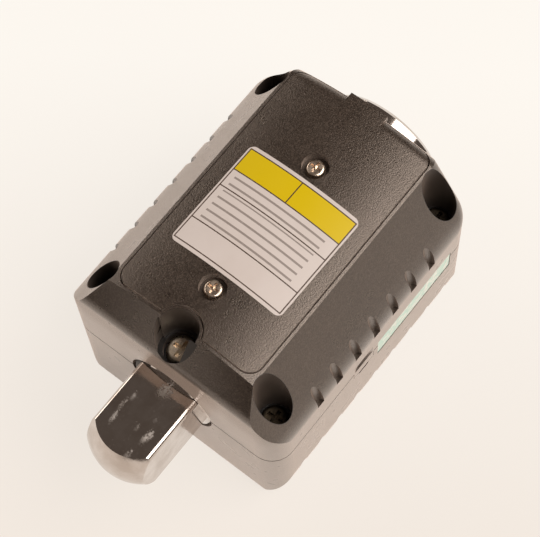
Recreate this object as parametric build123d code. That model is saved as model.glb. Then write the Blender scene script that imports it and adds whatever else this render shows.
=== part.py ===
from build123d import *
import os
from math import acos, atan2, cos, degrees, hypot, sin, sqrt

# Digital torque adapter. X runs along the drive axis towards the male square,
# Z points up through the battery cover. The origin is on the drive axis, in
# the shoulder plane of the male square. Millimetres throughout.

# Square drives
square = 12.7
square_edge = 1.0
square_length = 17.8
dome_radius = 9.9
socket_play = 0.1
socket_depth = 14.0
socket_lead_in = 0.8
detent_ball_radius = 2.5
detent_ball_proud = 0.8
detent_ball_play = 0.05
detent_ball_x = 8.6
detent_hole_depth = 8.2
detent_lip = 0.35
detent_lip_radius = 2.15
detent_coil_radius = 1.9
detent_wire = 0.4
detent_recess_radius = 2.6
detent_recess_depth = 0.7

# Torque shaft
head_radius = 12.0
head_overhang = 5.8
head_chamfer = 0.7
journal_radius = 10.4
head_gap = 0.5
journal_length = 11.0
neck_radius = 6.6
neck_flat = 5.2
neck_taper = 2.2
collar_radius = 8.6
collar_length = 9.6
collar_chamfer = 0.4
shaft_play = 0.3
cradle_play = 0.05
saddle_length = 8.4
saddle_half = 10.8
rib_half = 0.8
gauge_x = -28.0
gauge_length = 9.0
gauge_height = 7.0
gauge_thickness = 0.15
ribbon_width = 4.0
ribbon_thickness = 0.15
ribbon_gap = 0.1

# Housing halves, joined in the plane of the drive axis
housing_length = 56.7
housing_width = 46.6
housing_corner = 4.5
wall = 1.8
rear_straight = 6.3
side_round = 7.0
end_top = 16.3
end_round = 3.0
hip_round = 3.0
seam_chamfer = 0.15
front_depth = 20.0
front_end_round = 1.6
tongue_length = 5.6
tongue_depth = 2.0
tongue_x = -24.9
seam_gap = 0.1
pry_slot_length = 2.7
pry_slot_height = 0.6
scoop_radius = 6.0
scoop_width = 5.1
scoop_low = 0.4
scoop_high = 2.6

# Battery cover and the rim round it
cover_length = 50.4
cover_width = 29.3
cover_corner = 2.6
cover_top = 22.6
crown_radius = 56.3
cover_thickness = 1.25
cover_gap = 0.3
cover_seat_gap = 0.05
rim_width = 0.5
cover_end_inset = 5.5
tab_width = 7.8
tab_reach = 0.75
tab_y = 0.2
cover_screw_pitch = 27.9
cover_screw_inset = 8.2
cover_boss_radius = 3.2
cover_boss_depth = 1.4
counterbore_radius = 2.45
counterbore_floor = 0.95

# Labels
label_x = -27.5
label_y = 0.15
label_length = 22.1
label_width = 23.7
label_corner = 1.2
label_turn = -0.84
label_thickness = 0.1
seal_x = -39.85
seal_z = -1.4
seal_length = 21.7
seal_height = 5.6
seal_depth = 0.3
seal_thickness = 0.2
seal_gap = 0.1

# Screws
cover_screw_head = 3.4
cover_screw_head_height = 1.25
cover_screw_shank = 2.0
cover_screw_length = 7.0
cover_screw_play = 0.05
clamp_screw_x = -4.3
clamp_screw_head = 5.6
clamp_screw_head_height = 2.1
clamp_screw_shank = 3.0
clamp_screw_length = 8.0
shaft_screw_play = 0.05
pocket_radius = 3.7
pocket_wall = 0.4
pocket_floor = 11.0
pocket_ledge = 12.7
pocket_bore_radius = 3.25
pocket_slope_radius = 4.15
pocket_slope_side = 2.6
case_screw_pitch_x = 46.7
case_screw_inset = 6.0
case_screw_side_inset = 4.9
case_screw_head = 5.0
case_screw_head_height = 2.0
case_screw_shank = 2.6
case_screw_length = 14.0
case_screw_play = 0.1
well_radius = 3.2
well_wall = 1.3
well_floor = 4.0
boss_radius = 3.3

# Batteries, size AAA, side by side
battery_radius = 5.15
battery_body = 43.5
battery_nub_radius = 1.9
battery_nub = 1.0
battery_offset = 7.4
battery_z = 15.5
bay_play = 0.25
bay_end_wall = 1.5
bay_length = 46.5
tray_wall = 1.6
tray_bottom = 8.6
contact_thickness = 0.3
contact_width = 7.0
contact_height = 8.0
bridge_height = 2.4
spring_wire = 0.3
spring_radius = 3.0
lead_radius = 0.45
lead_side = 9.8
lead_tail = 1.8
lead_tail_drop = 1.2
lead_slot = 0.35
lead_spread = 3.6
lead_drift = 3.4
lead_stub = 0.6
battery_edge = 0.5

# Grip grooves across the long shoulders
groove_pitch = 5.32
rear_groove_radius = 0.9
front_groove_radius = 1.25
rear_groove_count = 7
front_groove_count = 9
groove_centre_x = -28.6
rear_groove_low_inset = 0.2
rear_groove_high_inset = 1.1
rear_groove_low_z = 6.2
rear_groove_high_z = 11.5
front_groove_low_inset = 1.55
front_groove_high_inset = -1.3
front_groove_low_z = -19.3
front_groove_high_z = -13.1

# Circuit board and display
board_thickness = 1.4
board_top = -11.1
board_end_gap = 0.6
board_side_gap = 0.5
board_screw_shank = 2.0
board_screw_head = 3.6
board_screw_head_height = 1.2
board_screw_length = 4.6
board_screw_inset_socket = 10.0
board_screw_inset_drive = 3.5
board_screw_side_inset = 4.7
post_radius = 2.3
display_x = -30.0
frame_side_inset = 7.2
frame_key_gap = 4.4
window_length = 33.4
window_corner = 1.5
window_overlap = 0.2
opening_corner = 0.6
window_thickness = 1.0
window_frame = 1.7
window_recess = 0.1
window_gap = 0.1
glass_length = 34.0
glass_corner = 0.3
glass_thickness = 2.0
glass_gap = 0.15
carrier_wall = 1.2
carrier_corner = 0.8
carrier_play = 0.1
backlight_play = 0.2
strip_width = 1.6
backlight_thickness = 1.4
chip_size = 8.0
chip_height = 1.2
chip_leg_count = 7
chip_leg_reach = 0.9
chip_leg_width = 0.4
chip_stand = 0.1
chip_x = -30.0
chip_side_inset = 10.3
buzzer_radius = 4.6
buzzer_height = 3.0
buzzer_hole = 0.9
buzzer_hole_depth = 0.8
buzzer_x = -40.0
buzzer_side_inset = 10.8
lamp_length = 5.0
lamp_width = 1.6
lamp_height = 0.9
lamp_corner = 0.6
lamp_play = 0.05
lamp_flange = 0.6
lamp_flange_thickness = 0.6
lamp_chip_length = 1.6
lamp_chip_width = 1.2
lamp_key_pitch = 5.6

# Buttons and their switches
button_names = ["button_power", "button_down", "button_up", "button_unit"]
button_pitch = 10.8
button_y = 9.0
button_length = 8.4
button_height = 5.2
button_corner = 1.5
button_travel = 0.5
button_edge = 0.35
button_gap = 0.2
button_set_back = 0.2
button_flange = 0.7
button_flange_thickness = 0.8
keypad_recess = 0.5
keypad_margin = 1.8
switch_size = 5.0
switch_body = 1.5
switch_nib_radius = 1.2
switch_nib = 0.5
stem_radius = 1.5
stop_gap = 0.1
press_gap = 0.05

# How far a cutter runs past the face it opens
over = 1.0

# Sizes worked out from the ones above
half_width = housing_width / 2
drive_end = 0.0
socket_end = drive_end - housing_length
cover_drive_end = drive_end - cover_end_inset
cover_socket_end = cover_drive_end - cover_length
cover_mid = (cover_drive_end + cover_socket_end) / 2
rim_half = cover_width / 2 + cover_gap + rim_width
rim_end = cover_drive_end + cover_gap + rim_width
head_end = socket_end - head_overhang
board_bottom = board_top - board_thickness
face_z = -front_depth
inner_face_z = face_z + wall
bay_socket_end = socket_end + bay_end_wall
bay_drive_end = bay_socket_end + bay_length
bay_radius = battery_radius + bay_play
case_screw_drive_x = drive_end - case_screw_inset
case_screw_spots = [
    (case_screw_drive_x - step * case_screw_pitch_x, side * (half_width - case_screw_side_inset))
    for step in (0, 1)
    for side in (-1, 1)
]
cover_screw_spots = [
    (cover_drive_end - cover_screw_inset - step * cover_screw_pitch, 0) for step in (0, 1)
]
board_drive_end = drive_end - wall - saddle_length - board_end_gap
board_socket_end = socket_end + wall + board_end_gap
board_width = 2 * (half_width - wall - board_side_gap)
board_screw_spots = [
    (x, side * (half_width - board_screw_side_inset))
    for x in (board_socket_end + board_screw_inset_socket, board_drive_end - board_screw_inset_drive)
    for side in (-1, 1)
]
button_spots = [display_x + (step - 1.5) * button_pitch for step in range(4)]
cover_screw_seat = cover_top - cover_thickness - cover_boss_depth + counterbore_floor
head_inner = socket_end - head_gap
journal_end = head_inner + journal_length
frame_low_y = frame_side_inset - half_width
frame_high_y = button_y - button_height / 2 - button_flange - frame_key_gap
glass_height = frame_high_y - frame_low_y - 2 * carrier_wall
window_height = glass_height - window_overlap
window_y = (frame_low_y + frame_high_y) / 2
lamp_y = button_y + lamp_key_pitch
rear_groove_low = (half_width - rear_groove_low_inset, rear_groove_low_z)
rear_groove_high = (half_width - rear_groove_high_inset, rear_groove_high_z)
front_groove_low = (half_width - front_groove_low_inset, front_groove_low_z)
front_groove_high = (half_width - front_groove_high_inset, front_groove_high_z)
# Shares of the drift, spread and fall reached at each point of a lead
lead_route = [(0, 0, 0), (0.25, 0.55, 0.3), (0.7, 0.95, 0.7), (1, 1, 1)]
glass_top = inner_face_z + glass_gap + glass_thickness
stem_end = board_bottom - switch_body - switch_nib - button_travel - press_gap
saddle_ribs = (-saddle_length + rib_half, -wall - rib_half - 1.0)
ball_z = detent_ball_radius - detent_ball_proud - square / 2
spring_top = detent_hole_depth - square / 2 - detent_wire / 2
spring_reach = detent_ball_radius + detent_wire / 2 + detent_ball_play
spring_foot = ball_z + sqrt(spring_reach**2 - detent_coil_radius**2)
battery_spring_space = bay_length - 2 * contact_thickness - battery_body - battery_nub


def crown(y, drop=0.0):
    """Height of the crowned top at a distance y from the drive axis."""
    radius = crown_radius - drop
    return cover_top - crown_radius + sqrt(radius**2 - y**2)


def crown_arc(half, drop=0.0):
    ends = crown(half, drop)
    return ThreePointArc((-half, ends), (0, crown(0, drop)), (half, ends))


def profile(*edges):
    return make_face(Curve() + list(edges))


def along_x(face, start, end):
    """A section drawn in Y and Z, drawn out from one X to another."""
    return extrude(Plane.YZ.offset(start) * face, end - start)


def slab(x_from, x_to, y_from, y_to, z_from, z_to):
    middle = Pos((x_from + x_to) / 2, (y_from + y_to) / 2, (z_from + z_to) / 2)
    return middle * Box(abs(x_to - x_from), abs(y_to - y_from), abs(z_to - z_from))


def rod_x(radius, x_from, x_to, y=0.0, z=0.0):
    return Pos((x_from + x_to) / 2, y, z) * Rot(0, 90, 0) * Cylinder(radius, abs(x_to - x_from))


def rod_z(radius, z_from, z_to, x=0.0, y=0.0):
    return Pos(x, y, (z_from + z_to) / 2) * Cylinder(radius, abs(z_to - z_from))


def plate(length, height, corner, x, y, z_from, z_to):
    """A rounded rectangle in plan, standing from one Z to another."""
    outline = Pos(x, y, z_from) * RectangleRounded(length, height, corner)
    return extrude(outline, z_to - z_from)


def tangent_point(centre_y, centre_z, radius, y, z):
    """Where a line from (y, z) touches the outer side of a circle."""
    across = y - centre_y
    up = z - centre_z
    angle = atan2(up, across) - acos(radius / hypot(across, up))
    return centre_y + radius * cos(angle), centre_z + radius * sin(angle)


def rear_section(inset, top_z=None):
    """Section of the rear half: straight side, round shoulder, slope, crown."""
    side = half_width - inset
    radius = side_round - inset
    centre_y = half_width - side_round
    slope_y, slope_z = rim_half, crown(rim_half)
    touch_y, touch_z = tangent_point(centre_y, rear_straight, side_round, slope_y, slope_z)
    run = (touch_y - slope_y) / (slope_z - touch_z)
    length = hypot(1, run)
    touch_y -= inset / length
    touch_z -= inset * run / length
    end_z = crown(slope_y) - inset if top_z is None else top_z
    end_y = touch_y - (end_z - touch_z) * run
    middle_angle = atan2(touch_z - rear_straight, touch_y - centre_y) / 2
    arc_y = centre_y + radius * cos(middle_angle)
    arc_z = rear_straight + radius * sin(middle_angle)
    rise = 0.25 if top_z is not None else crown(0) - crown(slope_y)
    return profile(
        Line((-side, 0), (side, 0)),
        Line((side, 0), (side, rear_straight)),
        ThreePointArc((side, rear_straight), (arc_y, arc_z), (touch_y, touch_z)),
        Line((touch_y, touch_z), (end_y, end_z)),
        ThreePointArc((end_y, end_z), (0, end_z + rise), (-end_y, end_z)),
        Line((-end_y, end_z), (-touch_y, touch_z)),
        ThreePointArc((-touch_y, touch_z), (-arc_y, arc_z), (-side, rear_straight)),
        Line((-side, rear_straight), (-side, 0)),
    )


def front_section(inset):
    side = half_width - inset
    floor = face_z + inset
    radius = side_round - inset
    start = face_z + side_round
    return profile(
        Line((-side, 0), (side, 0)),
        Line((side, 0), (side, start)),
        RadiusArc((side, start), (side - radius, floor), radius),
        Line((side - radius, floor), (-side + radius, floor)),
        RadiusArc((-side + radius, floor), (-side, start), radius),
        Line((-side, start), (-side, 0)),
    )


def plan_block(inset, z_from, z_to):
    middle = (drive_end + socket_end) / 2
    length = housing_length - 2 * inset
    return plate(length, housing_width - 2 * inset, housing_corner - inset, middle, 0, z_from, z_to)


def groove(side, low, high, radius):
    """One slanted groove cutter across a shoulder, round at its upper end."""
    low_y, low_z = low
    high_y, high_z = high
    rise = high_z - low_z
    lean = high_y - low_y
    turn = Rot(X=-side * degrees(atan2(lean, rise)))
    cutter = turn * Cylinder(radius, hypot(rise, lean))
    middle = Pos(0, side * (low_y + high_y) / 2, (low_z + high_z) / 2)
    return middle * cutter + Pos(0, side * high_y, high_z) * Sphere(radius)


def screw(head, height, shank, length):
    """A pan head cross-slot screw, its seat at Z zero, pointing down."""
    cap = rod_z(head / 2, 0, height)
    cap = fillet(cap.edges().sort_by(Axis.Z)[-1], height * 0.45)
    arm = head * 0.3
    half = head * 0.07
    floor = height * 0.35
    cap -= slab(-arm, arm, -half, half, floor, height)
    cap -= slab(-half, half, -arm, arm, floor, height)
    pin = rod_z(shank / 2, -length, 0)
    pin = chamfer(pin.edges().sort_by(Axis.Z)[0], shank * 0.2)
    return cap + pin


def coil(radius, wire, pitch, height):
    """An open coil of round wire, standing on Z zero."""
    path = Helix(pitch, height, radius)
    section = Plane(origin=path @ 0, z_dir=path % 0) * Circle(wire / 2)
    return sweep(section, path)


def wire_run(points, radius):
    """A soft lead through the given points."""
    path = Spline(*points)
    section = Plane(origin=path @ 0, z_dir=path % 0) * Circle(radius)
    return sweep(section, path)


def torque_shaft():
    """Solid steel drive: domed male square, collar, gauge neck, socket head."""
    half = square / 2
    male = slab(0, square_length, -half, half, -half, half)
    long_edges = male.edges().filter_by(Axis.X)
    male = fillet(long_edges, square_edge)
    dome_x = square_length - dome_radius
    dome = Pos(dome_x, 0, 0) * Sphere(dome_radius) + rod_x(dome_radius, -1, dome_x)
    male &= dome

    collar = rod_x(collar_radius, -collar_length, 0)
    collar = chamfer(collar.edges().sort_by(Axis.X)[-1], collar_chamfer)
    neck = rod_x(neck_radius, journal_end - neck_taper, -collar_length + neck_taper)
    neck &= slab(journal_end - neck_taper, 0, -neck_flat, neck_flat, -head_radius, head_radius)
    journal = rod_x(journal_radius, head_inner, journal_end)
    journal = chamfer(journal.edges().sort_by(Axis.X)[-1], neck_taper)
    head = rod_x(head_radius, head_end, head_inner)
    head = chamfer(head.edges().sort_by(Axis.X)[0], head_chamfer)
    body = male + collar + neck + journal + head

    opening = square + socket_play
    socket_floor = head_end + socket_depth
    body -= slab(head_end, socket_floor, -opening / 2, opening / 2, -opening / 2, opening / 2)
    mouth = Plane.YZ.offset(head_end) * Rectangle(opening + 2 * socket_lead_in, opening + 2 * socket_lead_in)
    throat = Plane.YZ.offset(head_end + socket_lead_in) * Rectangle(opening, opening)
    body -= loft([mouth.face(), throat.face()], ruled=True)
    recess_x = head_end + detent_ball_x
    reach = opening / 2 + detent_recess_depth
    body -= rod_z(detent_recess_radius, -reach, reach, x=recess_x)
    body -= Pos(recess_x, 0, 0) * Rot(90, 0, 0) * Cylinder(detent_recess_radius, 2 * reach)

    hole_radius = detent_ball_radius + detent_ball_play
    hole_top = detent_hole_depth - half
    body -= rod_z(hole_radius, detent_lip - half, hole_top, x=detent_ball_x)
    body -= rod_z(detent_lip_radius, -half - 1, 0, x=detent_ball_x)
    thread = clamp_screw_shank / 2 + shaft_screw_play
    return body - rod_z(thread, pocket_floor - clamp_screw_length - 0.6, collar_radius + 1, x=clamp_screw_x)


def detent_ball():
    return Pos(detent_ball_x, 0, ball_z) * Sphere(detent_ball_radius)


def detent_spring():
    height = spring_top - spring_foot
    return Pos(detent_ball_x, 0, spring_foot) * coil(detent_coil_radius, detent_wire, height / 5, height)


def strain_gauges():
    """One gauge patch on each flat of the neck."""
    patches = [
        slab(
            gauge_x - gauge_length / 2,
            gauge_x + gauge_length / 2,
            side * neck_flat,
            side * (neck_flat + gauge_thickness),
            -gauge_height / 2,
            gauge_height / 2,
        )
        for side in (-1, 1)
    ]
    return Compound(children=patches)


def gauge_ribbon():
    """Flat flexible leads from the gauges down to the circuit board."""
    inner = neck_flat
    ribbons = [
        slab(
            gauge_x - ribbon_width / 2,
            gauge_x + ribbon_width / 2,
            side * inner,
            side * (inner + ribbon_thickness),
            board_top,
            -gauge_height / 2 - ribbon_gap,
        )
        for side in (-1, 1)
    ]
    return Compound(children=ribbons)


def rear_solid(inset):
    """Rear half: long section, ruled slope at the drive end, round plan."""
    slope_start = rim_end - inset
    slope_end = drive_end - inset
    high = Plane.YZ.offset(slope_start) * rear_section(inset)
    low = Plane.YZ.offset(slope_end) * rear_section(inset, end_top - inset)
    body = along_x(rear_section(inset), socket_end + inset, slope_start)
    body += loft([high.face(), low.face()], ruled=True)
    if inset == 0:
        brow = [
            edge
            for edge in body.edges()
            if abs(edge.center().X - drive_end) < 0.01 and edge.center().Z > end_top
        ]
        body = fillet(brow, end_round)
    body &= plan_block(inset, 0, cover_top)
    if inset > 0:
        return body
    corner_x = socket_end + housing_corner
    hips = [
        edge
        for edge in body.edges()
        if edge.center().X < corner_x and edge.center().Z > rear_straight and edge.geom_type != GeomType.LINE
    ]
    end_lines = [
        edge
        for edge in body.edges().filter_by(GeomType.LINE)
        if edge.center().X < corner_x and edge.center().Z > end_top
    ]
    body = fillet(hips + end_lines, hip_round)
    return chamfer(body.faces().sort_by(Axis.Z)[0].outer_wire().edges(), seam_chamfer)


def above_crown(drop, grow):
    """Everything above the crowned seat, inside the cover's own outline."""
    half = half_width
    top = cover_top + over
    ends = crown(half, drop)
    section = profile(
        crown_arc(half, drop),
        Line((half, ends), (half, top)),
        Line((half, top), (-half, top)),
        Line((-half, top), (-half, ends)),
    )
    block = along_x(section, cover_socket_end - grow - tab_reach - over, cover_drive_end + grow)
    length = cover_length + 2 * grow
    outline = plate(length, cover_width + 2 * grow, cover_corner + grow, cover_mid, 0, 0, top)
    tab = slab(
        cover_socket_end - tab_reach - grow,
        cover_mid,
        tab_y - tab_width / 2 - grow,
        tab_y + tab_width / 2 + grow,
        0,
        top,
    )
    return block & (outline + tab)


def battery_bays():
    """The two round-bottomed cell bays, open at the top."""
    bays = []
    for side in (-1, 1):
        centre = side * battery_offset
        bays.append(rod_x(bay_radius, bay_socket_end, bay_drive_end, centre, battery_z))
        bays.append(
            slab(
                bay_socket_end,
                bay_drive_end,
                centre - bay_radius,
                centre + bay_radius,
                battery_z,
                cover_top,
            )
        )
    return bays


def shaft_space():
    """Room for the shaft in both halves: loose holes and a close saddle."""
    return [
        rod_x(collar_radius + shaft_play, -wall, drive_end + over),
        rod_x(collar_radius + cradle_play, -collar_length - over, -wall),
        rod_x(journal_radius + shaft_play, socket_end - over, bay_socket_end),
        rod_x(journal_radius + cradle_play, bay_socket_end, journal_end + over),
    ]


def side_grooves(count, low, high, radius):
    cutters = []
    for step in range(count):
        x = groove_centre_x + (step - (count - 1) / 2) * groove_pitch
        for side in (-1, 1):
            cutters.append(Pos(x, 0, 0) * groove(side, low, high, radius))
    return cutters


def seal_recess():
    return slab(
        seal_x - seal_length / 2,
        seal_x + seal_length / 2,
        half_width - seal_depth,
        half_width + over,
        seal_z - seal_height / 2,
        seal_z + seal_height / 2,
    )


def clamp_pocket():
    """Room for the clamp screw: round under the cover, wider and flat-sided on the slope."""
    wide = pocket_slope_radius
    low = pocket_ledge
    behind = rod_z(pocket_radius, low, cover_top, x=clamp_screw_x)
    behind &= slab(clamp_screw_x - wide, clamp_screw_x, -wide, wide, low, cover_top)
    ahead = rod_z(wide, low, cover_top, x=clamp_screw_x)
    ahead &= slab(clamp_screw_x, clamp_screw_x + wide, -wide, pocket_slope_side, low, cover_top)
    return behind + ahead + rod_z(pocket_bore_radius, pocket_floor, low, x=clamp_screw_x)


def rear_housing():
    """Upper shell with the battery tray, screw wells and half the shaft seat."""
    outer = rear_solid(0)
    shell = outer - rear_solid(wall)
    tray_half = battery_offset + bay_radius + tray_wall
    tray = slab(socket_end, bay_drive_end + tray_wall, -tray_half, tray_half, tray_bottom, cover_top)
    saddle = slab(-saddle_length, 0, -saddle_half, saddle_half, 0, end_top)
    inside = tray + saddle + rod_z(pocket_radius + pocket_wall, tray_bottom, cover_top, x=clamp_screw_x)
    for x, y in case_screw_spots:
        inside += rod_z(well_radius + well_wall, 0, cover_top, x=x, y=y)
    body = shell + (outer & inside)

    ring = rod_z(pocket_radius + pocket_wall, 0, cover_top, x=clamp_screw_x)
    body -= above_crown(cover_thickness + cover_seat_gap, cover_gap) - ring
    body -= battery_bays()
    rib_top = crown(0, cover_thickness) - cover_boss_depth - cover_seat_gap
    rib_reach = cover_boss_radius + cover_gap
    strap_low = battery_z + contact_height / 2 - bridge_height - cover_seat_gap
    strap_slot = bay_socket_end + lead_slot
    body -= slab(bay_socket_end, strap_slot, -battery_offset, battery_offset, strap_low, cover_top)
    for x, y in cover_screw_spots:
        body -= rod_z(rib_reach, rib_top, cover_top, x=x)
        tip = cover_screw_seat - cover_screw_length - 0.5
        body -= rod_z(cover_screw_shank / 2 + cover_screw_play, tip, cover_top, x=x)
    body -= shaft_space()
    body -= clamp_pocket()
    body -= rod_z(clamp_screw_shank / 2 + shaft_screw_play, 0, pocket_floor, x=clamp_screw_x)
    for x, y in case_screw_spots:
        body -= rod_z(well_radius, well_floor, cover_top, x=x, y=y)
        body -= rod_z(case_screw_shank / 2 + case_screw_play, 0, well_floor, x=x, y=y)
    for side in (-1, 1):
        slot_y = side * lead_side
        body -= slab(
            bay_drive_end - lead_slot,
            bay_drive_end,
            slot_y - lead_tail / 2 - cover_seat_gap,
            slot_y + lead_tail / 2 + cover_seat_gap,
            0,
            battery_z,
        )
    body -= side_grooves(rear_groove_count, rear_groove_low, rear_groove_high, rear_groove_radius)
    half_tongue = tongue_length / 2
    body += slab(
        tongue_x - half_tongue,
        tongue_x + half_tongue,
        half_width - wall,
        half_width,
        -tongue_depth,
        0.5,
    )
    scoop_y = half_width + sqrt(scoop_radius**2 - (scoop_width / 2) ** 2)
    body -= rod_z(scoop_radius, scoop_low, scoop_high, x=tongue_x, y=scoop_y)
    return body - seal_recess()


def front_solid(inset):
    """Front half: rounded long sides, straight ends with a small round."""
    start = socket_end + inset
    end = drive_end - inset
    body = along_x(front_section(inset), start, end)
    length = end - start
    height = 2 * (front_depth - inset)
    side_view = Plane.XZ * Pos((start + end) / 2, 0) * RectangleRounded(length, height, front_end_round)
    body &= extrude(side_view, half_width, both=True)
    body &= plan_block(inset, face_z, 0)
    if inset > 0:
        return body
    return chamfer(body.faces().sort_by(Axis.Z)[-1].outer_wire().edges(), seam_chamfer)


def front_housing():
    """Lower shell with the display window, the keys and the screw posts."""
    outer = front_solid(0)
    shell = outer - front_solid(wall)
    inside = []
    for x, y in case_screw_spots:
        inside.append(rod_z(boss_radius, face_z, 0, x=x, y=y))
    for x, y in board_screw_spots:
        inside.append(rod_z(post_radius, face_z, board_bottom, x=x, y=y))
    for x in saddle_ribs:
        inside.append(slab(x - rib_half, x + rib_half, -saddle_half, saddle_half, face_z, 0))
    body = shell + [outer & piece for piece in inside]

    body -= shaft_space()
    for x, y in case_screw_spots:
        depth = well_floor - case_screw_length - 0.5
        body -= rod_z(case_screw_shank / 2 + case_screw_play, depth, 0, x=x, y=y)
    for x, y in board_screw_spots:
        depth = board_top - board_screw_length - 0.3
        body -= rod_z(board_screw_shank / 2 + case_screw_play, depth, 0, x=x, y=y)

    seat = face_z + window_recess + window_thickness
    body -= plate(window_length, window_height, window_corner, display_x, window_y, face_z, seat)
    open_length = window_length - 2 * window_frame
    open_height = window_height - 2 * window_frame
    body -= plate(open_length, open_height, opening_corner, display_x, window_y, face_z, inner_face_z)

    row = 3 * button_pitch + button_length + 2 * keypad_margin
    column = button_height + 2 * keypad_margin
    body -= plate(row, column, button_corner, display_x, button_y, face_z, face_z + keypad_recess)
    for x in button_spots:
        opening = 2 * button_gap
        body -= plate(
            button_length + opening,
            button_height + opening,
            button_corner + button_gap,
            x,
            button_y,
            face_z,
            inner_face_z,
        )
    lamp_room = 2 * lamp_play
    body -= plate(
        lamp_length + lamp_room, lamp_width + lamp_room, lamp_corner, display_x, lamp_y, face_z, inner_face_z
    )
    body -= side_grooves(front_groove_count, front_groove_low, front_groove_high, front_groove_radius)
    body -= seal_recess()
    half_tongue = tongue_length / 2 + seam_gap
    body -= slab(
        tongue_x - half_tongue,
        tongue_x + half_tongue,
        half_width - wall - 0.1,
        half_width + over,
        -tongue_depth - seam_gap,
        0,
    )
    slot_half = pry_slot_length / 2
    slot_floor = -tongue_depth - seam_gap - pry_slot_height
    return body - slab(
        tongue_x - slot_half,
        tongue_x + slot_half,
        half_width - wall / 2,
        half_width + over,
        slot_floor,
        0,
    )


def battery_cover():
    """Crowned cover with two screw bosses, a screw notch and a finger tab."""
    half = half_width
    below = crown(half, cover_thickness)
    section = profile(
        crown_arc(half),
        Line((half, crown(half)), (half, below)),
        crown_arc(half, cover_thickness),
        Line((-half, below), (-half, crown(half))),
    )
    sheet = along_x(section, cover_socket_end - tab_reach, cover_drive_end)
    outline = plate(cover_length, cover_width, cover_corner, cover_mid, 0, 0, cover_top)
    tab = slab(
        cover_socket_end - tab_reach,
        cover_socket_end + hip_round,
        tab_y - tab_width / 2,
        tab_y + tab_width / 2,
        0,
        cover_top,
    )
    body = (sheet & outline & rear_solid(0)) + (sheet & tab)

    underside = crown(0, cover_thickness)
    for x, y in cover_screw_spots:
        body += rod_z(cover_boss_radius, underside - cover_boss_depth, underside + 0.5, x=x)
    for x, y in cover_screw_spots:
        body -= rod_z(counterbore_radius, cover_screw_seat, cover_top, x=x)
        body -= rod_z(cover_screw_shank / 2 + cover_screw_play, 0, cover_top, x=x)
    notch = pocket_radius + pocket_wall + cover_gap
    return body - rod_z(notch, 0, cover_top, x=clamp_screw_x)


def cover_label():
    """Blank label, turned a little on the crowned cover."""
    outline = Rot(Z=label_turn) * RectangleRounded(label_length, label_width, label_corner)
    block = extrude(Pos(label_x, label_y, 0) * outline, cover_top + over)
    reach = label_width / 2 + over
    base = crown(reach)
    lift = label_thickness
    section = profile(
        crown_arc(reach),
        Line((reach, base), (reach, crown(reach, -lift))),
        crown_arc(reach, -lift),
        Line((-reach, crown(reach, -lift)), (-reach, base)),
    )
    return along_x(section, label_x - label_length, label_x + label_length) & block


def seal_label():
    """Plain strip across the seam of the long side."""
    inner = half_width - seal_depth
    return slab(
        seal_x - seal_length / 2 + seal_gap,
        seal_x + seal_length / 2 - seal_gap,
        inner,
        inner + seal_thickness,
        seal_z - seal_height / 2 + seal_gap,
        seal_z + seal_height / 2 - seal_gap,
    )


def cover_screws():
    one = screw(cover_screw_head, cover_screw_head_height, cover_screw_shank, cover_screw_length)
    return Compound(children=[Pos(x, y, cover_screw_seat) * one for x, y in cover_screw_spots])


def housing_screws():
    one = screw(case_screw_head, case_screw_head_height, case_screw_shank, case_screw_length)
    return Compound(children=[Pos(x, y, well_floor) * one for x, y in case_screw_spots])


def board_screws():
    one = screw(board_screw_head, board_screw_head_height, board_screw_shank, board_screw_length)
    return Compound(children=[Pos(x, y, board_top) * one for x, y in board_screw_spots])


def shaft_screw():
    one = screw(clamp_screw_head, clamp_screw_head_height, clamp_screw_shank, clamp_screw_length)
    return Pos(clamp_screw_x, 0, pocket_floor) * one


def battery(side):
    """One cell, with its raised end towards the contact on its own side."""
    start = bay_socket_end + contact_thickness + (0 if side > 0 else battery_spring_space)
    end = start + battery_body + battery_nub
    if side > 0:
        body_from, body_to, nub_from, nub_to = start + battery_nub, end, start, start + battery_nub
    else:
        body_from, body_to, nub_from, nub_to = start, end - battery_nub, end - battery_nub, end
    y = side * battery_offset
    can = rod_x(battery_radius, body_from, body_to, y, battery_z)
    can = fillet(can.edges().filter_by(GeomType.CIRCLE), battery_edge)
    return can + rod_x(battery_nub_radius, nub_from, nub_to, y, battery_z)


def contact(side, at_socket_end):
    """A flat contact plate standing against one end of a bay."""
    if at_socket_end:
        x_from, x_to = bay_socket_end, bay_socket_end + contact_thickness
    else:
        x_from, x_to = bay_drive_end - contact_thickness, bay_drive_end
    middle = side * battery_offset
    half = contact_width / 2
    low = battery_z - contact_height / 2
    high = battery_z + contact_height / 2
    return slab(x_from, x_to, middle - half, middle + half, low, high)


def drive_end_contact(side):
    """Contact plate with a solder tail that goes down through the tray."""
    plate_piece = contact(side, False)
    tail_y = side * lead_side
    tail = slab(
        bay_drive_end - contact_thickness,
        bay_drive_end,
        tail_y - lead_tail / 2,
        tail_y + lead_tail / 2,
        tray_bottom - lead_tail_drop,
        battery_z,
    )
    return plate_piece + tail


def contact_bridge():
    """One plate that joins both cells at the socket end."""
    low = battery_z + contact_height / 2 - bridge_height
    strap = slab(
        bay_socket_end,
        bay_socket_end + contact_thickness,
        -battery_offset,
        battery_offset,
        low,
        low + bridge_height,
    )
    return contact(-1, True) + contact(1, True) + strap


def battery_springs():
    """A short coil at the flat end of each cell."""
    height = battery_spring_space - spring_wire
    one = coil(spring_radius, spring_wire, height / 3, height)
    left = bay_socket_end + contact_thickness + spring_wire / 2
    right = bay_drive_end - contact_thickness - spring_wire / 2 - height
    turned = Rot(0, 90, 0) * one
    return Compound(
        children=[
            Pos(left, -battery_offset, battery_z) * turned,
            Pos(right, battery_offset, battery_z) * turned,
        ]
    )


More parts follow.
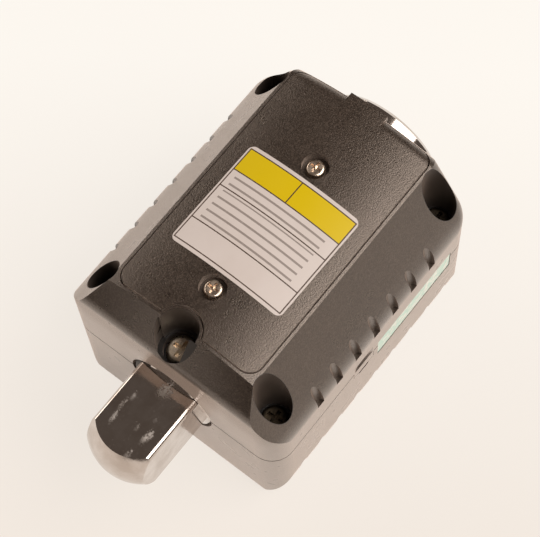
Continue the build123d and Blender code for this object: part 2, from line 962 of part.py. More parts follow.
def battery_leads():
    """Leads from the two solder tails down to the circuit board."""
    leads = []
    for side in (-1, 1):
        start_x = bay_drive_end - contact_thickness - lead_radius
        start_z = tray_bottom - lead_tail_drop + lead_stub
        fall = start_z - board_top - lead_radius
        points = [
            (start_x - back * lead_drift, side * (lead_side + out * lead_spread), start_z - down * fall)
            for back, out, down in lead_route
        ]
        leads.append(wire_run(points, lead_radius))
    return Compound(children=leads)


def circuit_board():
    """Board with notches round the socket-end screw posts."""
    length = board_drive_end - board_socket_end
    middle = (board_drive_end + board_socket_end) / 2
    body = plate(length, board_width, 1.0, middle, 0, board_bottom, board_top)
    for x, y in case_screw_spots:
        body -= rod_z(boss_radius + board_side_gap, board_bottom, board_top, x=x, y=y)
    for x, y in board_screw_spots:
        body -= rod_z(board_screw_shank / 2 + case_screw_play, board_bottom, board_top, x=x, y=y)
    return body


def main_chip():
    """Processor with a row of legs on each long side."""
    x, y = chip_x, chip_side_inset - half_width
    half = chip_size / 2
    half_leg = chip_leg_width / 2
    body = slab(x - half, x + half, y - half, y + half, board_top + chip_stand, board_top + chip_height)
    for leg in range(chip_leg_count):
        leg_x = x + (leg - (chip_leg_count - 1) / 2) * chip_size / (chip_leg_count + 1)
        for side in (-1, 1):
            near = y + side * half
            far = y + side * (half + chip_leg_reach)
            body += slab(leg_x - half_leg, leg_x + half_leg, near, far, board_top, board_top + chip_leg_width)
    return body


def tact_switches():
    """One push switch under each key, on the lower side of the board."""
    switches = []
    half = switch_size / 2
    for x in button_spots:
        base = slab(
            x - half, x + half, button_y - half, button_y + half, board_bottom - switch_body, board_bottom
        )
        nib = rod_z(
            switch_nib_radius, board_bottom - switch_body - switch_nib, board_bottom - switch_body, x, button_y
        )
        switches.append(base + nib)
    return Compound(children=switches)


def button(x):
    """Key cap with a stop flange inside the wall and a stem to its switch."""
    outer_z = face_z + button_set_back
    flange_low = inner_face_z + stop_gap
    flange_high = flange_low + button_flange_thickness
    cap = plate(button_length, button_height, button_corner, x, button_y, outer_z, flange_high)
    cap = fillet(cap.edges().group_by(Axis.Z)[0], button_edge)
    rim = plate(
        button_length + 2 * button_flange,
        button_height + 2 * button_flange,
        button_corner,
        x,
        button_y,
        flange_low,
        flange_high,
    )
    stem = rod_z(stem_radius, flange_high, stem_end, x, button_y)
    return cap + rim + stem


def display_window():
    length = window_length - 2 * window_gap
    height = window_height - 2 * window_gap
    low = face_z + window_recess
    return plate(length, height, window_corner - window_gap, display_x, window_y, low, low + window_thickness)


def lcd_glass():
    low = inner_face_z + glass_gap
    return plate(glass_length, glass_height, glass_corner, display_x, window_y, low, glass_top)


def lcd_frame():
    """Open frame that holds the glass against the window, below the board."""
    outer_length = glass_length + 2 * carrier_wall
    outer_height = glass_height + 2 * carrier_wall
    low = inner_face_z + glass_gap
    body = plate(outer_length, outer_height, carrier_corner, display_x, window_y, low, board_bottom)
    body -= plate(
        glass_length + carrier_play,
        glass_height + carrier_play,
        glass_corner,
        display_x,
        window_y,
        low,
        glass_top + carrier_play / 2,
    )
    return body - plate(
        glass_length - 2 * carrier_wall,
        glass_height - 2 * carrier_wall,
        glass_corner,
        display_x,
        window_y,
        low,
        board_bottom,
    )


def backlight():
    """Light spreader behind the glass, clear of the contact strip."""
    inner = glass_height - 2 * carrier_wall - 2 * backlight_play
    low_y = window_y - inner / 2
    high_y = window_y + inner / 2 - strip_width - 2 * backlight_play
    half = glass_length / 2 - carrier_wall - backlight_play
    low = glass_top + carrier_play / 2
    high = glass_top + backlight_thickness
    return slab(display_x - half, display_x + half, low_y, high_y, low, high)


def lcd_connector():
    """Striped rubber strip between the glass and the circuit board."""
    high_y = window_y + glass_height / 2 - carrier_wall - backlight_play
    half = glass_length / 2 - carrier_wall - 2 * backlight_play
    return slab(
        display_x - half, display_x + half, high_y - strip_width, high_y, glass_top, board_bottom
    )


def buzzer():
    x, y = buzzer_x, half_width - buzzer_side_inset
    top = board_top + buzzer_height
    body = rod_z(buzzer_radius, board_top, top, x, y)
    return body - rod_z(buzzer_hole, top - buzzer_hole_depth, top, x, y)


def status_lamp():
    half_x = lamp_chip_length / 2
    half_y = lamp_chip_width / 2
    return slab(
        display_x - half_x,
        display_x + half_x,
        lamp_y - half_y,
        lamp_y + half_y,
        board_bottom - lamp_height,
        board_bottom,
    )


def lamp_lens():
    """Clear light guide from the status lamp to the front face."""
    low = face_z + button_set_back
    corner = lamp_corner - lamp_play
    pipe = plate(lamp_length, lamp_width, corner, display_x, lamp_y, low, board_bottom - lamp_height - stop_gap)
    flange = plate(
        lamp_length + 2 * lamp_flange,
        lamp_width + lamp_flange,
        corner,
        display_x,
        lamp_y,
        inner_face_z,
        inner_face_z + lamp_flange_thickness,
    )
    return pipe + flange


os.makedirs("parts", exist_ok=True)

nodes = {
    "torque_shaft": torque_shaft(),
    "detent_ball": detent_ball(),
    "detent_spring": detent_spring(),
    "strain_gauges": strain_gauges(),
    "gauge_ribbon": gauge_ribbon(),
    "rear_housing": rear_housing(),
    "front_housing": front_housing(),
    "battery_cover": battery_cover(),
    "cover_label": cover_label(),
    "seal_label": seal_label(),
    "cover_screws": cover_screws(),
    "housing_screws": housing_screws(),
    "shaft_screw": shaft_screw(),
    "board_screws": board_screws(),
    "battery_left": battery(-1),
    "battery_right": battery(1),
    "battery_springs": battery_springs(),
    "contact_positive": drive_end_contact(-1),
    "contact_negative": drive_end_contact(1),
    "contact_bridge": contact_bridge(),
    "battery_leads": battery_leads(),
    "circuit_board": circuit_board(),
    "main_chip": main_chip(),
    "tact_switches": tact_switches(),
    "lcd_glass": lcd_glass(),
    "lcd_frame": lcd_frame(),
    "backlight": backlight(),
    "lcd_connector": lcd_connector(),
    "display_window": display_window(),
    "buzzer": buzzer(),
    "status_lamp": status_lamp(),
    "lamp_lens": lamp_lens(),
}
for name, x in zip(button_names, button_spots):
    nodes[name] = button(x)

for name, shape in nodes.items():
    export_step(shape, f"parts/{name}.step")
    print(name, round(shape.volume, 2), shape.is_valid)
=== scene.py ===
import math

import bpy
from mathutils import Matrix, Vector


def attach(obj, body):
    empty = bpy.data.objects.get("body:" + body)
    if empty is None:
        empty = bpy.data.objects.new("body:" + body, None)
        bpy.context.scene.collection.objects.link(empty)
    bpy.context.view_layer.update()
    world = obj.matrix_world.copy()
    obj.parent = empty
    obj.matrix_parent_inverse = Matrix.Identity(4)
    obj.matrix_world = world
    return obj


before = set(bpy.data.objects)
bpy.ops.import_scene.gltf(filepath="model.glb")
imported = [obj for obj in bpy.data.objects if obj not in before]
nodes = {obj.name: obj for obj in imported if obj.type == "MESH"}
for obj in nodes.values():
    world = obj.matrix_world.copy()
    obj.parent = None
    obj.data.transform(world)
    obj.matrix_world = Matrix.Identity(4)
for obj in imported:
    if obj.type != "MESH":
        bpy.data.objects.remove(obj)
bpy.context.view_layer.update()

mm = 0.001


# Shader tools: one output of a node, wrapped so that maths reads as an expression

class Wire:
    def __init__(self, finish, node, output=0):
        self.finish = finish
        self.node = node
        self.output = output

    def maths(self, operation, *values):
        return self.finish.add("ShaderNodeMath", {"operation": operation}, values)

    def __add__(self, other):
        return self.maths("ADD", self, other)

    def __radd__(self, other):
        return self.maths("ADD", other, self)

    def __sub__(self, other):
        return self.maths("SUBTRACT", self, other)

    def __rsub__(self, other):
        return self.maths("SUBTRACT", other, self)

    def __mul__(self, other):
        return self.maths("MULTIPLY", self, other)

    def __rmul__(self, other):
        return self.maths("MULTIPLY", other, self)

    def __truediv__(self, other):
        return self.maths("DIVIDE", self, other)

    def above(self, edge):
        return self.maths("GREATER_THAN", self, edge)

    def below(self, edge):
        return self.maths("LESS_THAN", self, edge)

    def band(self, low, high):
        return self.above(low) * self.below(high)

    def larger(self, other):
        return self.maths("MAXIMUM", self, other)

    def fraction(self):
        return self.maths("FRACT", self)

    def size(self):
        return self.maths("ABSOLUTE", self)

    def clamp(self):
        return self.finish.add("ShaderNodeClamp", {}, {"Value": self})

    def ramp(self, low, high, start=0.0, end=1.0):
        inputs = {"Value": self, "From Min": low, "From Max": high, "To Min": start, "To Max": end}
        return self.finish.add("ShaderNodeMapRange", {"clamp": True}, inputs)


socketNames = {
    "colour": "Base Color",
    "roughness": "Roughness",
    "metallic": "Metallic",
    "specular": "Specular IOR Level",
    "specularTint": "Specular Tint",
    "ior": "IOR",
    "coat": "Coat Weight",
    "coatRoughness": "Coat Roughness",
    "sheen": "Sheen Weight",
    "sheenRoughness": "Sheen Roughness",
    "sheenTint": "Sheen Tint",
    "transmission": "Transmission Weight",
}


class Finish:
    def __init__(self, name):
        self.material = bpy.data.materials.new(name)
        self.material.use_nodes = True
        self.nodes = self.material.node_tree.nodes
        self.links = self.material.node_tree.links
        self.nodes.clear()
        self.surface = self.principled()
        self.output = self.add("ShaderNodeOutputMaterial", {}, {"Surface": self.surface})

    # Every node comes from here: its settings first, then its sockets by name or number
    def add(self, kind, settings, inputs, output=0):
        node = self.nodes.new(kind)
        for key, value in settings.items():
            setattr(node, key, value)
        pairs = inputs.items() if isinstance(inputs, dict) else enumerate(inputs)
        for key, value in pairs:
            self.feed(node.inputs[key], value)
        return Wire(self, node, output)

    def feed(self, socket, value):
        if isinstance(value, Wire):
            self.links.new(value.node.outputs[value.output], socket)
        elif socket.type == "RGBA":
            socket.default_value = (*value, 1.0)
        else:
            socket.default_value = value

    def principled(self, **values):
        inputs = {socketNames[key]: value for key, value in values.items()}
        return self.add("ShaderNodeBsdfPrincipled", {}, inputs)

    def set(self, **values):
        for key, value in values.items():
            self.feed(self.surface.node.inputs[socketNames[key]], value)

    # The other surface shows instead where share is 1
    def over(self, share, other):
        both = self.add("ShaderNodeMixShader", {}, (share, self.surface, other))
        self.feed(self.output.node.inputs["Surface"], both)

    # Object coordinates, moved so that centre is the origin and then turned about Z
    def place(self, centre=(0, 0, 0), turn=0.0):
        coordinates = self.add("ShaderNodeTexCoord", {}, {}, "Object")
        shift = tuple(-value for value in centre)
        moved = self.add("ShaderNodeMapping", {}, {"Vector": coordinates, "Location": shift})
        if turn:
            moved = self.add("ShaderNodeMapping", {}, {"Vector": moved, "Rotation": (0, 0, turn)})
        return moved

    def stretch(self, vector, scale):
        return self.add("ShaderNodeMapping", {}, {"Vector": vector, "Scale": scale})

    # x, y and z in mm
    def axes(self, vector):
        parts = self.add("ShaderNodeSeparateXYZ", {}, {"Vector": vector})
        return [Wire(self, parts.node, index) / mm for index in range(3)]

    def noise(self, vector, scale, detail=2.0, roughness=0.5):
        inputs = {"Vector": vector, "Scale": scale, "Detail": detail, "Roughness": roughness}
        return self.add("ShaderNodeTexNoise", {}, inputs, "Fac")

    # The colour sockets of a Mix node are its seventh and eighth, and its third output
    def mix(self, factor, first, second):
        return self.add("ShaderNodeMix", {"data_type": "RGBA"}, {0: factor, 6: first, 7: second}, 2)

    def bump(self, height, strength, distance):
        inputs = {"Height": height, "Strength": strength, "Distance": distance}
        self.feed(self.surface.node.inputs["Normal"], self.add("ShaderNodeBump", {}, inputs, "Normal"))


def dress(finish, *pieces):
    for piece in pieces:
        piece = nodes[piece] if isinstance(piece, str) else piece
        piece.data.materials.clear()
        piece.data.materials.append(finish.material)


def dressAll(maker, table):
    for name, values, pieces in table:
        dress(maker(name, **values), *pieces)


def darker(colour, share):
    return tuple(value * share for value in colour)


# Parts of a noise's range: nearly all of it, its middle, and the middle with the light end
noiseSpan = (0.3, 0.7)
middleSpan = (0.35, 0.65)
cloudSpan = (0.35, 0.7)


# Case plastic: dark brown-black, spark-eroded, with pale specks on its grain that are partly grain tone
# and partly painted glints

casePlastic = {
    "dark": (0.008, 0.0048, 0.0030),
    "colour": (0.015, 0.0095, 0.0063),
    "pale": (0.15, 0.112, 0.088),
    "roughness": (0.26, 0.35),
    "specular": 1.0,
    "specularTint": (1.0, 0.86, 0.76),
    "ior": 1.6,
    # The heavier coat on the walls below these heights is a painted reflection that brightens them
    "wallTop": (8.0, 12.5),  # mm: the coat fades between these heights
    "wallCoat": 1.0,
    "coatRoughness": 0.34,
    "sheen": 1.0,
    "sheenRoughness": 0.33,
    "sheenTint": (1.0, 0.80, 0.68),
    "fine": (4500.0, 2.0, 0.6),  # each noise: blotches per metre, detail, roughness
    "coarse": (2700.0, 1.0, 0.5),
    "broad": (70.0, 3.0, 0.55),
    "smudge": (320.0, 2.0, 0.5),
    "coarseShare": 0.25,
    "speckBand": (0.45, 0.62),
    "smudgeBand": (0.55, 0.8),
    "smudgeShare": 0.03,
    "bumpStrength": 0.8,
    "coarseBump": 0.3,
}

caseMouldings = [
    ("caseDark", {"shift": 0.0, "specks": 0.36, "depth": 0.07 * mm, "topCoat": 0.4}),
    ("coverDark", {"shift": 30.0 * mm, "specks": 0.42, "depth": 0.08 * mm, "topCoat": 0.15}),
]

# The wells and the clamp pocket come off smooth mould pins: without the grain, and darker as painted
# shade in these recesses. In mm.
shadedPins = {
    "wells": [(-6.0, 18.4), (-6.0, -18.4), (-52.7, 18.4), (-52.7, -18.4)],
    "wellRadius": 3.26,
    "pocket": (-4.3, 0.0),
    "pocketRadius": 3.76,
    "notchRadius": 4.2,
    "lowest": 3.0,
    "roughness": 0.35,
    "specular": 0.8,
    "sheen": 0.5,
    "film": (400.0, 2.0),
}


def makeCasePlastic(name, shift, specks, depth, topCoat):
    finish = Finish(name)
    where = finish.place((shift, 0, 0))
    height = finish.axes(where)[2]
    fine = finish.noise(where, *casePlastic["fine"])
    coarse = finish.noise(where, *casePlastic["coarse"])
    broad = finish.noise(where, *casePlastic["broad"])
    smudge = finish.noise(where, *casePlastic["smudge"])
    base = finish.mix(broad.ramp(*middleSpan), casePlastic["dark"], casePlastic["colour"])
    coarseShare = casePlastic["coarseShare"]
    grain = fine * (1.0 - coarseShare) + coarse * coarseShare
    # The pale specks mix the grain's own tone with painted glints off the eroded surface
    grainAndGlints = grain.ramp(*casePlastic["speckBand"]) * specks
    handled = smudge.ramp(*casePlastic["smudgeBand"]) * casePlastic["smudgeShare"]
    finish.set(
        colour=finish.mix(grainAndGlints + handled, base, casePlastic["pale"]),
        roughness=(broad * 0.5 + smudge * 0.5).ramp(*middleSpan, *casePlastic["roughness"]),
        specular=casePlastic["specular"],
        specularTint=casePlastic["specularTint"],
        ior=casePlastic["ior"],
        # Painted reflection: more coat on the walls than on the top, so the walls catch more of the
        # floor's light
        coat=height.ramp(*casePlastic["wallTop"], casePlastic["wallCoat"], topCoat),
        coatRoughness=casePlastic["coatRoughness"],
        sheen=casePlastic["sheen"],
        sheenRoughness=casePlastic["sheenRoughness"],
        sheenTint=casePlastic["sheenTint"],
    )
    finish.bump(fine + coarse * casePlastic["coarseBump"], casePlastic["bumpStrength"], depth)
    return finish


def withinCircle(x, y, centre, radius):
    across = x - centre[0]
    along = y - centre[1]
    return (across * across + along * along).below(radius * radius)


def smoothShadedWells(finish):
    where = finish.place()
    x, y, z = finish.axes(where)
    pocket = shadedPins["pocket"]
    notch = withinCircle(x, y, pocket, shadedPins["notchRadius"]) * x.above(pocket[0])
    inside = withinCircle(x, y, pocket, shadedPins["pocketRadius"]).larger(notch)
    for well in shadedPins["wells"]:
        inside = inside.larger(withinCircle(x, y, well, shadedPins["wellRadius"]))
    film = finish.noise(where, *shadedPins["film"])
    # A darker surface with less sheen in the wells and the pocket: painted shade in these recesses, on a
    # smooth pin finish
    shadedPin = finish.principled(
        colour=finish.mix(film, casePlastic["dark"], casePlastic["colour"]),
        roughness=shadedPins["roughness"],
        specular=shadedPins["specular"],
        sheen=shadedPins["sheen"],
        sheenRoughness=casePlastic["sheenRoughness"],
        sheenTint=casePlastic["sheenTint"],
    )
    finish.over(inside * z.above(shadedPins["lowest"]), shadedPin)


caseDark, coverDark = [makeCasePlastic(name, **values) for name, values in caseMouldings]
smoothShadedWells(caseDark)
dress(caseDark, "rear_housing", "front_housing")
dress(coverDark, "battery_cover")
print("case plastic done")


# Torque shaft: satin chrome, scuffed where sockets have sat on the square, with painted shade, dark and
# dull, in the gap beside the collar

shaftFinish = {
    "colour": (0.72, 0.66, 0.62),
    "dull": (0.56, 0.49, 0.44),
    "roughness": (0.07, 0.16),
    "rubbed": (0.55, 0.51, 0.48),
    "rubbedRoughness": 0.6,
    "rubbedMetalLoss": 0.5,
    "gapShade": (0.05, 0.035, 0.025),
    "gapShadeRoughness": 0.55,
    "gapShadeMetalLoss": 0.8,
    "gapShadeX": (-4.0, 0.1),  # mm
    "gapShadeY": -4.0,
    "broad": (210.0, 4.0, 0.6),
    "fine": (2400.0, 3.0, 0.6),
    "streaks": (1.0, 3.0, 0.7),
    "streakScale": (60.0, 2600.0, 2600.0),
    "streakTurn": math.radians(24),
    "streakBand": (0.62, 0.8),
    "streakShare": 0.12,
    "speckBand": (0.64, 0.78),
    "speckShare": 0.3,
    "scuffEdge": (0.1, 2.4),
    "scuffGrain": (0.38, 0.62, 0.25, 1.0),
    "ragged": (5.0, 3.0),
    "bump": (0.2, 0.02 * mm),
    # each scuff in mm: place in x and y, reach in x and y, and its strength
    "scuffs": [
        (10.8, -3.5, 0.90, 0.35, 0.80),
        (8.2, -3.7, 1.00, 0.30, 0.50),
        (5.8, -3.2, 0.70, 0.30, 0.60),
        (9.7, 3.5, 0.80, 0.50, 0.90),
        (10.8, 3.2, 0.60, 0.40, 0.60),
        (1.8, 0.6, 1.20, 0.90, 0.75),
        (9.8, 1.0, 0.50, 0.35, 0.40),
        (14.4, 2.8, 0.80, 0.40, 0.50),
        (6.9, 2.5, 0.40, 0.30, 0.30),
    ],
}


def makeShaftFinish():
    finish = Finish("shaftChrome")
    where = finish.place()
    x, y, z = finish.axes(where)
    broad = finish.noise(where, *shaftFinish["broad"])
    fine = finish.noise(where, *shaftFinish["fine"])
    lines = finish.stretch(finish.place(turn=shaftFinish["streakTurn"]), shaftFinish["streakScale"])
    streaks = finish.noise(lines, *shaftFinish["streaks"])
    raggedX, raggedY = shaftFinish["ragged"]
    rub = fine.ramp(*shaftFinish["speckBand"]) * shaftFinish["speckShare"]
    for spotX, spotY, reachX, reachY, strength in shaftFinish["scuffs"]:
        across = (x - spotX) / reachX + (fine - 0.5) * raggedX
        along = (y - spotY) / reachY + (broad - 0.5) * raggedY
        spot = (across * across + along * along).ramp(*shaftFinish["scuffEdge"], strength, 0.0)
        rub = rub + spot * fine.ramp(*shaftFinish["scuffGrain"])
    drawn = streaks.ramp(*shaftFinish["streakBand"]) * shaftFinish["streakShare"]
    rub = (rub * x.above(0.0) * z.above(0.0) + drawn).clamp()
    film = broad.ramp(*middleSpan)
    # Painted shade: a dark, dull patch in the gap beside the collar, where shadow falls
    gapShade = x.band(*shaftFinish["gapShadeX"]) * y.below(shaftFinish["gapShadeY"])
    plate = finish.mix(film, shaftFinish["colour"], shaftFinish["dull"])
    worn = finish.mix(rub, plate, shaftFinish["rubbed"])
    metalLoss = (rub * shaftFinish["rubbedMetalLoss"]).larger(gapShade * shaftFinish["gapShadeMetalLoss"])
    polish = rub * shaftFinish["rubbedRoughness"] + film.ramp(0.0, 1.0, *shaftFinish["roughness"])
    finish.set(
        colour=finish.mix(gapShade, worn, shaftFinish["gapShade"]),
        metallic=1.0 - metalLoss,
        roughness=polish.larger(gapShade * shaftFinish["gapShadeRoughness"]).clamp(),
    )
    finish.bump(fine * 0.5 + streaks * 0.5 + rub, *shaftFinish["bump"])
    return finish


dress(makeShaftFinish(), "torque_shaft", "detent_ball")
print("shaft done")


# Screws and springs: yellowish nickel under the cover, and steel darkened as painted shade down the wells

metalGrime = {
    "colour": (0.06, 0.045, 0.03),
    "amount": 0.5,
    "band": (0.48, 0.68),
    "metalLoss": 0.5,
    "roughening": 0.2,
    "fineTimes": 5.0,
    "bump": (0.3, 0.02 * mm),
}

metals = [
    ("nickel", {
        "colour": (0.92, 0.76, 0.62), "roughness": (0.16, 0.34), "scale": 900.0,
    }, ["cover_screws"]),
    # The housing screws sit deep in the wells: their dark colour is painted shade
    ("oiledSteel", {
        "colour": (0.11, 0.085, 0.058), "roughness": (0.3, 0.5), "scale": 700.0,
        "dirt": (0.02, 0.015, 0.01), "amount": 0.8,
    }, ["housing_screws"]),
    ("wornSteel", {
        "colour": (0.90, 0.76, 0.60), "roughness": (0.22, 0.4), "scale": 600.0,
        "dirt": (0.12, 0.08, 0.05),
    }, ["shaft_screw"]),
    ("plainSteel", {
        "colour": (0.55, 0.55, 0.54), "roughness": (0.2, 0.4), "scale": 700.0,
    }, ["board_screws", "detent_spring", "battery_springs"]),
    ("contactTin", {
        "colour": (0.66, 0.66, 0.64), "roughness": (0.25, 0.4), "scale": 500.0,
        "dirt": (0.3, 0.28, 0.25), "amount": 0.3,
    }, ["contact_positive", "contact_negative", "contact_bridge"]),
]


def makeMetal(name, colour, roughness, scale, dirt=metalGrime["colour"], amount=metalGrime["amount"]):
    finish = Finish(name)
    where = finish.place()
    broad = finish.noise(where, scale, 3.0, 0.6)
    fine = finish.noise(where, scale * metalGrime["fineTimes"], 2.0, 0.6)
    grime = (broad * 0.6 + fine * 0.4).ramp(*metalGrime["band"]) * amount
    finish.set(
        colour=finish.mix(grime, colour, dirt),
        metallic=1.0 - grime * metalGrime["metalLoss"],
        roughness=(broad.ramp(*noiseSpan, *roughness) + grime * metalGrime["roughening"]).clamp(),
    )
    finish.bump(fine, *metalGrime["bump"])
    return finish


dressAll(makeMetal, metals)
print("metal parts done")


# Labels: a generic ruled form with a yellow head band, and a plain mint strip

ruledLabel = {
    "centre": (-27.5 * mm, 0.15 * mm, 0),
    "turn": math.radians(0.84),
    "paper": (0.70, 0.63, 0.60),
    "handled": (0.62, 0.54, 0.50),
    "handledBand": (0.45, 0.75),
    "handledShare": 0.5,
    "ink": (0.075, 0.045, 0.03),
    "inkWear": (0.2, 0.4, 0.8, 1.0),
    "yellow": (0.72, 0.52, 0.0),
    "roughness": (0.38, 0.5),
    "specular": 0.4,
    "fibres": (1500.0, 2.0),
    "smudge": (120.0, 3.0),
    "bump": (0.15, 0.01 * mm),
    "rowInk": 0.6,
    "border": (10.3, 11.42),  # from here on in mm from the label's centre
    "line": 0.11,
    "bandEnd": -5.52,
    "divider": -0.1,
    "rules": [-1.82, 5.66],
    "ruleGap": 0.5,
    "rowStart": -20.0,
    "rowPitch": 1.5,
    "rowLine": 0.13,  # half the bar, as a share of the pitch
    "rowsAcross": (-4.9, 5.2),
    "rowsAlong": (-10.2, 9.4),
}

mintSeal = {
    "colour": (0.56, 0.76, 0.66),
    "worn": (0.84, 0.85, 0.78),
    "wear": (1100.0, 3.0, 0.6),
    "wearBand": (0.46, 0.62),
    "roughness": (0.35, 0.5),
    "bump": (0.2, 0.01 * mm),
}


def makeRuledLabel():
    finish = Finish("ruledLabel")
    where = finish.place(ruledLabel["centre"])
    across, along = finish.axes(finish.place(ruledLabel["centre"], ruledLabel["turn"]))[:2]
    reachX, reachY = ruledLabel["border"]
    line = ruledLabel["line"]
    bandEnd = ruledLabel["bandEnd"]
    edge = (across.size() - reachX).larger(along.size() - reachY)
    inside = edge.below(0.0)
    head = across.below(bandEnd)
    ink = edge.size().below(line)
    ink = ink.larger((across - bandEnd).size().below(line) * inside)
    ink = ink.larger((along - ruledLabel["divider"]).size().below(line) * inside * head)
    for rule in ruledLabel["rules"]:
        ink = ink.larger((across - rule).size().below(line) * inside)
    row = ((across - ruledLabel["rowStart"]) / ruledLabel["rowPitch"]).fraction()
    rows = (row - 0.5).size().below(ruledLabel["rowLine"])
    rows = rows * across.band(*ruledLabel["rowsAcross"]) * along.band(*ruledLabel["rowsAlong"])
    clear = (across - ruledLabel["rules"][0]).size().above(ruledLabel["ruleGap"])
    ink = ink.larger(rows * clear * ruledLabel["rowInk"])
    fibres = finish.noise(where, *ruledLabel["fibres"])
    smudge = finish.noise(where, *ruledLabel["smudge"])
    touched = smudge.ramp(*ruledLabel["handledBand"]) * ruledLabel["handledShare"]
    paper = finish.mix(touched, ruledLabel["paper"], ruledLabel["handled"])
    ground = finish.mix(head * inside, paper, ruledLabel["yellow"])
    finish.set(
        colour=finish.mix(ink * fibres.ramp(*ruledLabel["inkWear"]), ground, ruledLabel["ink"]),
        roughness=smudge.ramp(*noiseSpan, *ruledLabel["roughness"]),
        specular=ruledLabel["specular"],
    )
    finish.bump(fibres, *ruledLabel["bump"])
    return finish


def makeSeal():
    finish = Finish("mint")
    wear = finish.noise(finish.place(), *mintSeal["wear"])
    finish.set(
        colour=finish.mix(wear.ramp(*mintSeal["wearBand"]), mintSeal["colour"], mintSeal["worn"]),
        roughness=wear.ramp(*noiseSpan, *mintSeal["roughness"]),
    )
    finish.bump(wear, *mintSeal["bump"])
    return finish


dress(makeRuledLabel(), "cover_label")
dress(makeSeal(), "seal_label")
print("labels done")


# Inside: cells, board and electronics

cellJacket = {
    "copper": (0.62, 0.36, 0.10),
    "black": (0.03, 0.03, 0.035),
    "tin": (0.55, 0.55, 0.53),
    "tinMetallic": 0.9,
    "blackEnd": -22.0,  # in mm, as are the next two
    "middle": -33.2,
    "reach": 20.9,  # bare tin lies past this, at both ends of the cell
    "roughness": (0.22, 0.34),
    "film": (300.0, 3.0),
    "bump": (0.2, 0.02 * mm),
}

boardGreen = {
    "colour": (0.012, 0.11, 0.045),
    "track": (0.03, 0.24, 0.09),
    "trackScale": 420.0,
    "trackBand": (0.32, 0.40),
    "trackShare": 0.7,
    "roughness": (0.3, 0.42),
    "weave": (900.0, 2.0),
    "coat": 0.3,
    "bump": (0.4, 0.02 * mm),
}

plainParts = [
    ("blackPlastic", {
        "colour": (0.022, 0.021, 0.020), "roughness": (0.4, 0.6), "scale": 500.0,
    }, ["main_chip", "lcd_frame", "buzzer"]),
    ("switchGrey", {
        "colour": (0.10, 0.10, 0.10), "roughness": (0.35, 0.5), "scale": 700.0,
    }, ["tact_switches"]),
    ("kapton", {
        "colour": (0.62, 0.28, 0.05), "roughness": (0.25, 0.4), "scale": 600.0,
    }, ["strain_gauges", "gauge_ribbon"]),
    ("leadRed", {
        "colour": (0.50, 0.03, 0.025), "roughness": (0.35, 0.5), "scale": 400.0,
    }, ["battery_leads"]),
    ("zebra", {
        "colour": (0.30, 0.12, 0.10), "roughness": (0.5, 0.6), "scale": 2500.0, "shade": 0.2,
    }, ["lcd_connector"]),
    ("spreader", {
        "colour": (0.82, 0.82, 0.78), "roughness": (0.4, 0.5), "scale": 300.0, "shade": 0.95,
    }, ["backlight"]),
    ("lampChip", {
        "colour": (0.80, 0.74, 0.45), "roughness": (0.3, 0.4), "scale": 800.0,
    }, ["status_lamp"]),
]


def makeJacket():
    finish = Finish("cellJacket")
    where = finish.place()
    x = finish.axes(where)[0]
    film = finish.noise(where, *cellJacket["film"])
    ends = (x - cellJacket["middle"]).size().above(cellJacket["reach"])
    wrap = finish.mix(x.below(cellJacket["blackEnd"]), cellJacket["copper"], cellJacket["black"])
    finish.set(
        colour=finish.mix(ends, wrap, cellJacket["tin"]),
        metallic=ends * cellJacket["tinMetallic"],
        roughness=film.ramp(*noiseSpan, *cellJacket["roughness"]),
    )
    finish.bump(film, *cellJacket["bump"])
    return finish


def makeBoard():
    finish = Finish("boardGreen")
    where = finish.place()
    weave = finish.noise(where, *boardGreen["weave"])
    inputs = {"Vector": where, "Scale": boardGreen["trackScale"]}
    grid = finish.add("ShaderNodeTexVoronoi", {"distance": "MANHATTAN"}, inputs)
    track = grid.band(*boardGreen["trackBand"])
    finish.set(
        colour=finish.mix(track * boardGreen["trackShare"], boardGreen["colour"], boardGreen["track"]),
        roughness=weave.ramp(*noiseSpan, *boardGreen["roughness"]),
        coat=boardGreen["coat"],
    )
    finish.bump(track, *boardGreen["bump"])
    return finish


# One colour with a faint darker cloud in it
def makePlain(name, colour, roughness, scale, depth=0.02 * mm, shade=0.8, transmission=0.0):
    finish = Finish(name)
    broad = finish.noise(finish.place(), scale, 3.0)
    finish.set(
        colour=finish.mix(broad.ramp(*cloudSpan), darker(colour, shade), colour),
        roughness=broad.ramp(*noiseSpan, *roughness),
        transmission=transmission,
    )
    finish.bump(broad, 0.3, depth)
    return finish


dress(makeJacket(), "battery_left", "battery_right")
dress(makeBoard(), "circuit_board")
dressAll(makePlain, plainParts)
print("inside done")


# Display side: window, glass with unlit digits, rubber keys with raised signs

keyRubber = {
    "grey": (0.17, 0.175, 0.18),
    "red": (0.42, 0.035, 0.025),
    "shade": 0.75,
    "roughness": (0.55, 0.7),
    "sheen": 0.2,
    "broad": (260.0, 3.0),
    "fine": (3800.0, 2.0),
    "bump": (0.5, 0.03 * mm),
}

clearParts = [
    ("liquidCrystal", {
        "colour": (0.36, 0.41, 0.33), "roughness": (0.12, 0.18), "scale": 90.0, "shade": 0.92,
    }, ["lcd_glass"]),
    ("windowClear", {
        "colour": (0.96, 0.97, 0.96), "roughness": (0.02, 0.06), "scale": 200.0, "depth": 0.002 * mm,
        "shade": 0.99, "transmission": 1.0,
    }, ["display_window"]),
    ("lensMilk", {
        "colour": (0.85, 0.87, 0.88), "roughness": (0.2, 0.3), "scale": 300.0, "transmission": 0.6,
    }, ["lamp_lens"]),
]

